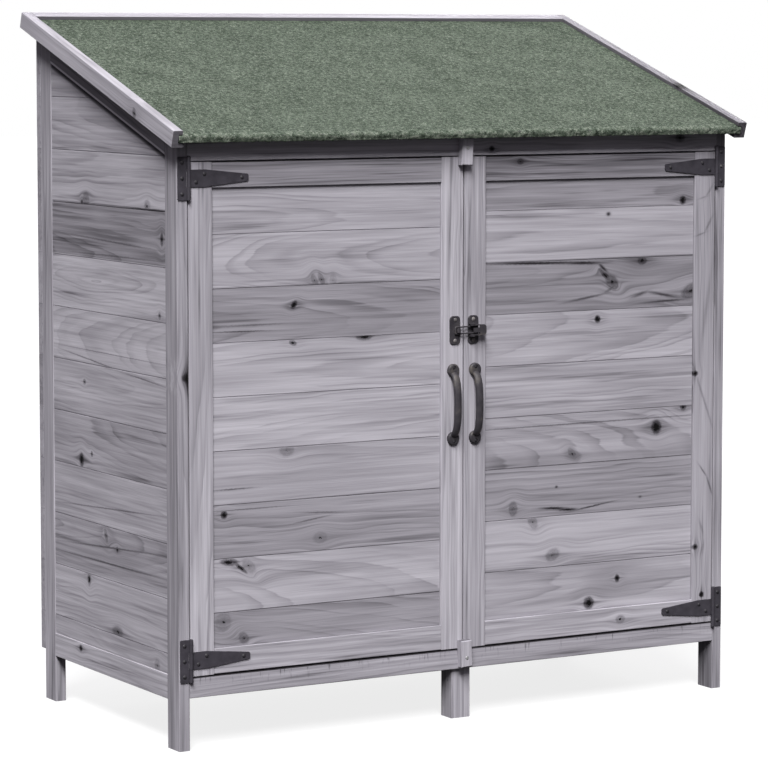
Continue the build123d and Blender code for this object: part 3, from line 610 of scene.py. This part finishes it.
def felt_material():
    """Grey-green mineral granules pressed into bitumen."""
    material, graph, shader = new_material("mineral_felt")
    place = object_millimetres(graph)
    grains = graph.add("ShaderNodeTexVoronoi", {"Vector": place, "Scale": GRAINS_PER_MM}).outputs
    chance = graph.add("ShaderNodeSeparateColor", {"Color": grains["Color"]}).outputs["Red"]
    clumps = graph.swing(place, (0.17, 0.17, 0.17), 4.0, 0.7)
    cloud = graph.swing(place, (0.018, 0.018, 0.018), 3.0, 0.6)
    uphill = graph.split(level_turn(graph, place, ROOF_PITCH))["Y"]
    nose = graph.remap(uphill, *[FELT_FRONT + reach for reach in NOSE_REACH])
    tufts = graph.math("MULTIPLY", graph.swing(place, (0.09, 0.09, 0.09), 3.0, 0.6), nose)
    specks = graph.remap(chance, 0.82, 0.92)
    level = graph.total((chance, 0.55), 0.13, (specks, 0.2), (clumps, 2.1))
    # near the front edge: lighter tufts, and a painted highlight along the rounded edge
    level = graph.total(level, (cloud, 0.45), (tufts, 1.6), (nose, 0.14))
    graph.put(shader.inputs["Base Color"], graph.ramp(level, FELT_STOPS))
    shader.inputs["Roughness"].default_value = 0.95
    shader.inputs["Specular IOR Level"].default_value = 0.1
    bump(graph, shader, graph.total((grains["Distance"], -0.6), clumps), 0.5, 0.0012)
    return material


def paint(name, material):
    """Give a node of the frame its material."""
    slots = nodes[name].data.materials
    slots.clear()
    slots.append(material)


LEFT_DOOR_KNOTS = [
    Knot(236, 702, 9, 0.24, 0.05, 0.5, -0.3),
    Knot(248, 704, 9, 0.34, 0.12, 0.45, -0.4),
    Knot(268, 702, 9, 0.16, 0.05, 0.6, 0.0),
    Knot(200, 667, 5.5, 0.70, 0.75, 0.8, 0.4),
    Knot(323, 613, 5, 0.55, 0.55, 2.6, 0.0),
    Knot(198, 609, 4, 0.50, 0.45, 1.4, -0.5),
    Knot(187, 446, 9, 0.24, 0.12, 1.2, 0.0),
    Knot(79, 354, 5.5, 0.75, 0.75, 0.9, 0.0),
    Knot(245, 307, 8, 0.16, 0.10, 1.3, 0.0),
    Knot(86, 281, 5, 0.55, 0.55, 2.2, -0.8),
    Knot(107, 271, 8, 0.60, 0.55, 0.5, -1.1),
    Knot(121, 273, 10, 0.22, 0.06, 0.9, -0.5),
    Knot(77, 191, 13, 0.20, 0.15, 0.9, 0.0),
    Knot(112, 163, 8, 0.36, 0.22, 0.9, -0.2),
]
RIGHT_DOOR_KNOTS = [
    Knot(919, 809, 6, 0.70, 0.75, 0.9, 0.0),
    Knot(768, 692, 9, 0.60, 0.50, 0.55, -0.9),
    Knot(782, 680, 11, 0.42, 0.25, 0.9, -0.3),
    Knot(840, 713, 6, 0.50, 0.45, 1.3, 0.0),
    Knot(936, 660, 12, 0.45, 0.15, 1.2, 0.5),
    Knot(754, 622, 5.5, 0.75, 0.80, 0.9, 0.0),
    Knot(923, 472, 6, 0.60, 0.50, 0.9, 0.0),
    Knot(870, 441, 10, 0.75, 0.80, 0.85, 0.0),
    Knot(707, 407, 9, 0.34, 0.18, 0.7, -0.5),
    Knot(595, 326, 10, 0.36, 0.08, 0.7, 0.0),
    Knot(632, 303, 11, 0.30, 0.12, 0.7, -0.3),
    Knot(670, 247, 9, 0.32, 0.14, 1.2, 0.3),
    Knot(795, 199, 5.5, 0.75, 0.75, 0.75, 0.0),
    Knot(740, 163, 9, 0.72, 0.70, 0.95, 0.0),
]
SIDE_KNOTS = [
    Knot(318, 820, 9, 0.30, 0.10, 1.1, 0.0),
    Knot(333, 815, 3.5, 0.60, 0.65, 0.6, 0.0),
    Knot(101, 817, 9, 0.24, 0.10, 1.0, 0.0),
    Knot(105, 815, 3, 0.45, 0.50, 0.5, 0.0),
    Knot(52, 770, 9, 0.60, 0.35, 0.5, 0.0),
    Knot(61, 654, 5, 0.40, 0.35, 0.8, 0.0),
    Knot(329, 531, 4, 0.40, 0.30, 1.2, 0.0),
    Knot(342, 406, 10, 0.65, 0.62, 0.7, 0.0),
    Knot(304, 419, 4, 0.50, 0.40, 0.9, 0.0),
    Knot(254, 296, 9, 0.34, 0.28, 0.6, 0.3),
    Knot(214, 279, 4, 0.50, 0.50, 0.9, 0.0),
    Knot(317, 219, 10, 0.38, 0.55, 0.6, 0.0),
    Knot(214, 150, 8, 0.34, 0.20, 2.0, 0.0),
    Knot(76, 120, 8, 0.28, 0.18, 1.0, 0.0),
]
HEADER_KNOTS = [
    Knot(551, 898, 4, 0.70, 0.70, 1.1, 0.0),
    Knot(910, 910, 6, 0.50, 0.30, 1.3, 0.0),
]
STILE_KNOTS = [
    Knot(159, 960, 4, 0.90, 0.95, 1.0, 0.0),
    Knot(525, 944, 5, 0.75, 0.70, 0.8, 0.0),
    Knot(239, 946, 5, 0.70, 0.70, 0.8, 0.0),
]

LEFT_DOOR_CRACKS = [
    Crack(110, 630, 0.9, 46, 0.60, -0.014),
    Crack(125, 639, 1.2, 60, 0.35, 0.003),
    Crack(98, 392, 1.0, 32, 0.55, 0.0),
    Crack(229, 336, 1.1, 28, 0.45, 0.129),
    Crack(247, 346, 1.0, 34, 0.40, -0.06),
    Crack(124, 360, 0.8, 60, 0.45, 0.0),
]
# Among these a wide one darkens the lower part of a board, and three very short ones are dots.
RIGHT_DOOR_CRACKS = [
    Crack(640, 715.5, 2.0, 85, 0.95, -0.02),
    Crack(725, 713, 2.2, 36, 0.90, -0.03),
    Crack(764, 704, 3.0, 8, 0.80, -0.8),
    Crack(781, 671, 2.6, 14, 0.42, 0.55),
    Crack(733, 657, 1.8, 34, 0.55, 0.15),
    Crack(836, 659, 2.8, 16, 0.50, 0.28),
    Crack(884, 656, 2.4, 30, 0.62, -0.20),
    Crack(885, 646, 1.8, 44, 0.65, 0.03),
    Crack(740, 400, 15.0, 500, 0.17, 0.0),
    Crack(740, 456, 1.0, 260, 0.45, 0.004),
    Crack(672, 322, 1.8, 22, 1.0, -0.06),
    Crack(698, 318, 1.9, 18, 1.0, -0.05),
    Crack(745, 320, 1.2, 36, 0.75, 0.13),
    Crack(774, 790, 2.8, 3.8, 0.80, 0.0),
    Crack(677, 356, 1.8, 2.4, 0.75, 0.0),
    Crack(839, 329, 1.8, 3.0, 0.50, 0.0),
]
SIDE_CRACKS = [
    Crack(230, 582, 0.9, 190, 0.35, 0.004),
    Crack(300, 567, 1.1, 110, 0.40, 0.08),
    Crack(118, 553, 1.4, 75, 0.45, 0.066),
    Crack(234, 340, 1.1, 170, 0.40, -0.06),
    Crack(235, 279, 1.4, 150, 0.50, -0.068),
    Crack(235, 253, 1.4, 170, 0.50, -0.015),
    Crack(227, 757, 1.3, 150, 0.40, 0.029),
    Crack(227, 735, 1.3, 150, 0.40, -0.007),
    Crack(90, 812, 1.3, 70, 0.75, 0.0),
]
STILE_CRACKS = [
    Crack(822, 968.6, 2.5, 11, 0.20, 0.67),
    Crack(812.6, 957.9, 5.0, 3, 0.20, 2.7),
    Crack(768, 967.8, 2.5, 14, 0.25, 0.55),
    Crack(753, 953.5, 5.0, 3.5, 0.25, 2.6),
    Crack(628, 964.3, 3.5, 72, 0.17, 0.154),
    Crack(480, 962, 2.2, 48, 0.24, -0.38),
    Crack(364, 961, 1.9, 10, 0.42, -0.75),
    Crack(338, 974.5, 1.7, 18, 0.40, -0.38),
    Crack(271.5, 958.3, 2.5, 12, 0.20, -0.35),
    Crack(235, 960.2, 3.0, 12, 0.20, 0.27),
]

LEFT_DOOR_TONES = [0.59, 0.72, 0.61, 0.69, 0.75, 0.75, 0.60, 0.72, 0.70]
RIGHT_DOOR_TONES = [0.70, 0.74, 0.60, 0.68, 0.70, 0.70, 0.54, 0.73, 0.57]
BACK_TONES = [0.74, 0.72, 0.77, 0.70, 0.75, 0.68, 0.73, 0.78, 0.71, 0.66, 0.76, 0.73, 0.70]
SIDE_TONES = [0.70, 0.75, 0.64, 0.73, 0.68, 0.73, 0.79, 0.78, 0.55, 0.75, 0.72, 0.72, 0.72]

# Boards that the photograph doesn't show: the seed of the draws, the number of knots and their reach
RIGHT_SIDE_DRAW = (5, 14, (50, 430), (120, 960))
BACK_DRAW = (9, 18, (20, 980), (100, 1060))

# The first number of each kind of timber, from which its grain follows
FIELD_SEED = 3
FIELD_SEED_STEP = 20
PLAIN_SEED = 120
SLOPED_SEED = 160
PANEL_SEED = 180
PANEL_TONE = 0.5

# How strongly the grain shows, on the sides, on plain timbers and on those that differ
SIDE_STREAK = 1.35
PLAIN_STREAK = 1.7
STREAKS = {"right_door_hinge_stile": 0.9}

# Cracks on plain timbers
PLAIN_CRACKS = {"right_door_hinge_stile": STILE_CRACKS}

# Plain timbers: direction of the grain, tone and knots
PLAIN_TIMBERS = {
    "front_sill": ("x", 0.66, []),
    "front_header": ("x", 0.74, HEADER_KNOTS),
    "rear_bottom_rail": ("x", 0.70, []),
    "rear_top_rail": ("x", 0.70, []),
    "floor_boards": ("x", 0.66, []),
    "left_door_top_rail": ("x", 0.60, []),
    "left_door_bottom_rail": ("x", 0.70, []),
    "right_door_top_rail": ("x", 0.52, [Knot(604, 877, 4, 0.50, 0.30, 1.3, 0.0)]),
    "right_door_bottom_rail": ("x", 0.70, [Knot(799, 132, 6, 0.34, 0.20, 1.3, 0.0)]),
    "front_left_post": ("z", 0.63, [Knot(565, 17, 8, 0.80, 0.80, 0.8, 0.0)]),
    "front_right_post": ("z", 0.62, []),
    "rear_left_post": ("z", 0.65, []),
    "rear_right_post": ("z", 0.70, []),
    "front_centre_leg": ("z", 0.69, []),
    "left_door_hinge_stile": ("z", 0.72, []),
    "left_door_meeting_stile": ("z", 0.77, []),
    "right_door_meeting_stile": ("z", 0.69, []),
    "right_door_hinge_stile": ("z", 0.67, STILE_KNOTS),
    "top_turn_button": ("z", 0.76, []),
    "bottom_turn_button": ("z", 0.74, []),
    "left_side_bottom_rail": ("y", 0.76, [Knot(348, 103, 4.5, 0.60, 0.65, 1.2, 0.0)]),
    "right_side_bottom_rail": ("y", 0.74, []),
    "floor_bearers": ("y", 0.66, []),
}
# Edges that get painted shade along the gap beside them: the timber's low corner, 0, or its high one, 1
GAP_PAINTED_SHADE_EDGES = {
    "front_header": 0,
    "front_sill": 1,
    "left_door_top_rail": 1,
    "right_door_top_rail": 1,
    "left_door_bottom_rail": 0,
    "right_door_bottom_rail": 0,
}
# Timbers that follow the roof slope: direction of the grain, tone, knots, and the face towards the felt
# that is darkened
SLOPED_TIMBERS = {
    # this rail's tone is set lower than the right one's as painted shade under the rake trim
    "left_side_top_rail": ("y", 0.55, [], None),
    "right_side_top_rail": ("y", 0.60, [], None),
    "left_rake_trim": ("y", 0.74, [Knot(394, 878, 7, 0.40, 0.35, 0.8, 0.3)], ("X", 1.0)),
    "right_rake_trim": ("y", 0.54, [Knot(445, 897, 9, 0.60, 0.35, 1.3, 0.5)], ("X", -1.0)),
    "rear_trim": ("x", 0.72, [], ("Y", -1.0)),
}


def scattered_knots(seed, count, along, across):
    """Knots strewn over a field of boards."""
    chance = random.Random(seed)
    knots = []
    for _ in range(count):
        centre = (chance.uniform(*along), chance.uniform(*across))
        radius = chance.uniform(3, 9)
        core = chance.uniform(0.15, 0.75)
        knots.append(Knot(*centre, radius, 0.45, core, 1.1, 0.0))
    return knots


def dress_boards():
    """A material for each boarded field: the doors, the sides and the back."""
    left_door = Boards(LEFT_DOOR_SEAM, DOOR_PITCH, LEFT_DOOR_TONES)
    right_door = Boards(RIGHT_DOOR_SEAM, DOOR_PITCH, RIGHT_DOOR_TONES)
    left_side = Boards(SIDE_SEAM, SIDE_PITCH, SIDE_TONES)
    right_side = Boards(SIDE_SEAM, SIDE_PITCH, SIDE_TONES[::-1])
    back = Boards(SIDE_SEAM, SIDE_PITCH, BACK_TONES)
    fields = {
        "left_door_boards": ("x", left_door, LEFT_DOOR_KNOTS, LEFT_DOOR_CRACKS),
        "right_door_boards": ("x", right_door, RIGHT_DOOR_KNOTS, RIGHT_DOOR_CRACKS),
        "left_side_boards": ("y", left_side, SIDE_KNOTS, SIDE_CRACKS),
        "right_side_boards": ("y", right_side, scattered_knots(*RIGHT_SIDE_DRAW), ()),
        "back_boards": ("x", back, scattered_knots(*BACK_DRAW), ()),
    }
    for number, (name, (grain, boards, knots, cracks)) in enumerate(fields.items()):
        on_side = "side" in name
        look = timber_material(
            name,
            grain,
            FIELD_SEED + FIELD_SEED_STEP * number,
            boards=boards,
            knots=knots,
            cracks=cracks,
            ends=BOARD_END_SHADE if name == "back_boards" else END_SHADE,
            streak=SIDE_STREAK if on_side else 1.0,
            # the side boards get the sloping rail's painted shadow
            rail=Rail(RAIL_PAINTED_SHADOW, 0.0) if on_side else None,
        )
        paint(name, look)


def dress_plain_timbers():
    """A material for each level or upright timber."""
    for number, (name, (grain, tone, knots)) in enumerate(PLAIN_TIMBERS.items()):
        joints = []
        # edges beside a gap get painted shade
        if name in GAP_PAINTED_SHADE_EDGES:
            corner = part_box(name)[GAP_PAINTED_SHADE_EDGES[name]]
            joints.append((corner[2] - ORIGIN[2]) / MM)
        look = timber_material(
            name,
            grain,
            PLAIN_SEED + number,
            tone,
            knots=knots,
            cracks=PLAIN_CRACKS.get(name, ()),
            joints=joints,
            streak=STREAKS.get(name, PLAIN_STREAK),
            sawn=joints[0] if name == "front_sill" else None,
        )
        paint(name, look)


def dress_roof_timbers():
    """A material for each timber that follows the roof slope, and for the panel under the felt."""
    for number, (name, (grain, tone, knots, darkened_face)) in enumerate(SLOPED_TIMBERS.items()):
        look = timber_material(
            name,
            grain,
            SLOPED_SEED + number,
            tone,
            knots=knots,
            slope=ROOF_PITCH,
            darkened_face=darkened_face,
            # the side top rails get a painted highlight along their lower edge
            rail=Rail(0.0, RAIL_PAINTED_HIGHLIGHT) if "rail" in name else None,
        )
        paint(name, look)
    paint("roof_panel", timber_material("roof_panel", "x", PANEL_SEED, PANEL_TONE))


def dress_hardware():
    """Materials of hinges, handles, latch and screws."""
    plain = hardware_material("black_hardware", HINGE_STOPS)
    # the handles' material carries a painted highlight on their upper pads
    worn_and_highlit = hardware_material("worn_and_highlit_hardware", HANDLE_STOPS, UPPER_PAD_WEAR_AND_HIGHLIGHT)
    dark = hardware_material("screw_heads", SCREW_STOPS, LATCH_WEAR)
    zinc = zinc_material()
    for entry in frame["record"]["subparts"]:
        name = entry["node"]
        if entry["material_slot"] == "zinc_screw":
            paint(name, zinc)
        elif entry["material_slot"] == "black_hardware":
            kind = worn_and_highlit if "handle" in name or "latch" in name else plain
            paint(name, dark if "screws" in name else kind)


# The felt sheet's section and the steps of its mesh
FELT_ROUND = 6.5
FELT_FOLD = 1.0
FACE_STEPS = 6
NOSE_STEPS = 5
SLOPE_STEP = 6.0
FELT_STEP = 2.0
DENT_DEPTH = 1.6
RAGGED_DEPTH = 2.0


def roof_place(x, up, out):
    """A point of the roof slope in the shared frame, from millimetres."""
    y = up * math.cos(ROOF_PITCH) - out * math.sin(ROOF_PITCH)
    z = PANEL_HEIGHT + up * math.sin(ROOF_PITCH) + out * math.cos(ROOF_PITCH)
    return ORIGIN + Vector((x, y, z)) * MM


def felt_outline():
    """Section of the felt as (up, out, rough) points: its front face, nose, slope and underside."""
    front = PANEL_FRONT - FELT_THICK
    top = PANEL_THICK + FELT_THICK
    points = [(PANEL_FRONT, -FELT_FOLD, 0.0)]
    for number in range(FACE_STEPS):
        out = -FELT_FOLD + (top - FELT_ROUND + FELT_FOLD) * number / FACE_STEPS
        points.append((front, out, 1.0))
    for number in range(NOSE_STEPS + 1):
        angle = math.pi / 2 * number / NOSE_STEPS
        up = front + FELT_ROUND * (1 - math.cos(angle))
        points.append((up, top - FELT_ROUND * (1 - math.sin(angle)), 1.0))
    start = front + FELT_ROUND
    steps = round((FELT_END - start) / SLOPE_STEP)
    for number in range(1, steps + 1):
        points.append((start + (FELT_END - start) * number / steps, top, 0.5))
    points.append((FELT_END, PANEL_THICK, 0.0))
    points.append((PANEL_FRONT, PANEL_THICK, 0.0))
    return points


def dent(place):
    """How far the granules stand back at a point of the felt, as a share of their depth."""
    return max(0.0, 0.5 + 0.7 * noise.noise(place * 0.10) + 0.5 * noise.noise(place * 0.22))


def ragged(x):
    """The wave of the felt's lower border along the front."""
    slow = noise.noise(Vector((x * 0.11, 7.0, 0.0)))
    quick = noise.noise(Vector((x * 0.31, 3.0, 0.0)))
    return slow + 0.7 * quick


def felt_vertices(outline, columns):
    """The section repeated along the front, dented and with a ragged lower border."""
    left = -FELT_MARGIN
    right = SHED_WIDTH + FELT_MARGIN
    vertices = []
    for column in range(columns + 1):
        x = left + (right - left) * column / columns
        for up, out, rough in outline:
            depth = dent(Vector((x, up, out))) * DENT_DEPTH * rough
            if out < 0:
                out += RAGGED_DEPTH * ragged(x) * rough
            if up < PANEL_FRONT:
                up += depth
            else:
                out -= depth
            vertices.append(roof_place(x, up, out))
    return vertices


def build_felt():
    """The felt as one closed sheet with a rough, rounded front edge."""
    outline = felt_outline()
    columns = round((SHED_WIDTH + 2 * FELT_MARGIN) / FELT_STEP)
    count = len(outline)
    faces = []
    for column in range(columns):
        near = column * count
        far = near + count
        for row in range(count):
            after = (row + 1) % count
            faces.append((near + row, near + after, far + after, far + row))
    faces.append(tuple(range(count))[::-1])
    faces.append(tuple(columns * count + row for row in range(count)))
    mesh = bpy.data.meshes.new("felt_sheet")
    mesh.from_pydata(felt_vertices(outline, columns), [], faces)
    mesh.polygons.foreach_set("use_smooth", [True] * len(mesh.polygons))
    mesh.materials.append(felt_material())
    piece = bpy.data.objects.new("felt_sheet", mesh)
    bpy.context.scene.collection.objects.link(piece)
    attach(piece, "shed_frame")
    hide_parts("roof_felt")


def floor_material():
    """A pale floor: white to the camera where nothing shades it, and dull to every other ray."""
    material, graph, shader = new_material("pale_floor")
    seen = graph.add("ShaderNodeLightPath").outputs["Is Camera Ray"]
    graph.put(shader.inputs["Base Color"], graph.ramp(seen, [(0.0, grey(0.05)), (1.0, grey(0.2))]))
    shader.inputs["Roughness"].default_value = 1.0
    shader.inputs["Specular IOR Level"].default_value = 0.0
    shader.inputs["Emission Color"].default_value = (1.0, 1.0, 1.0, 1.0)
    graph.put(shader.inputs["Emission Strength"], graph.math("MULTIPLY", seen, FLOOR_GLOW))
    return material


def build_floor():
    bpy.ops.mesh.primitive_plane_add(size=FLOOR_SIZE)
    floor = bpy.context.object
    floor.name = "floor"
    floor.data.materials.append(floor_material())


def build_sky():
    """A weak sky that lights the shed from half way up, and is white to the camera."""
    world = bpy.data.worlds.new("studio")
    bpy.context.scene.world = world
    world.use_nodes = True
    graph = Graph(world.node_tree)
    height = graph.split(graph.add("ShaderNodeTexCoord").outputs["Generated"])["Z"]
    height = graph.math("MAXIMUM", height, 0.0)
    level = graph.math("SUBTRACT", 1.0, graph.product(height, height))
    level = graph.math("SQRT", graph.math("MAXIMUM", level, 0.0))
    sky = graph.product(height, level, 2.0 * SKY_STRENGTH)
    seen = graph.add("ShaderNodeLightPath").outputs["Is Camera Ray"]
    background = world.node_tree.nodes["Background"]
    graph.put(background.inputs["Color"], graph.ramp(seen, [(0.0, SKY_COLOUR), (1.0, grey(1.0))]))
    graph.put(background.inputs["Strength"], graph.math("MAXIMUM", sky, seen))


def build_suns():
    for towards, strength in SUNS:
        lamp = bpy.data.lights.new("sun", "SUN")
        lamp.energy = strength
        lamp.angle = math.radians(SUN_ANGLE)
        sun = bpy.data.objects.new("sun", lamp)
        sun.rotation_mode = "QUATERNION"
        sun.rotation_quaternion = (-Vector(towards)).to_track_quat("-Z", "Y")
        bpy.context.scene.collection.objects.link(sun)


def build_camera():
    data = bpy.data.cameras.new("camera")
    data.lens = CAMERA_LENS
    data.shift_y = CAMERA_SHIFT
    camera = bpy.data.objects.new("camera", data)
    camera.location = ORIGIN + Vector(CAMERA_PLACE) * MM
    camera.rotation_euler = (math.radians(90 - CAMERA_PITCH), 0.0, math.radians(-CAMERA_YAW))
    bpy.context.scene.collection.objects.link(camera)
    bpy.context.scene.camera = camera


dress_boards()
dress_plain_timbers()
dress_roof_timbers()
dress_hardware()
build_felt()
build_floor()
build_sky()
build_suns()
build_camera()
bpy.context.scene.view_settings.view_transform = "Standard"
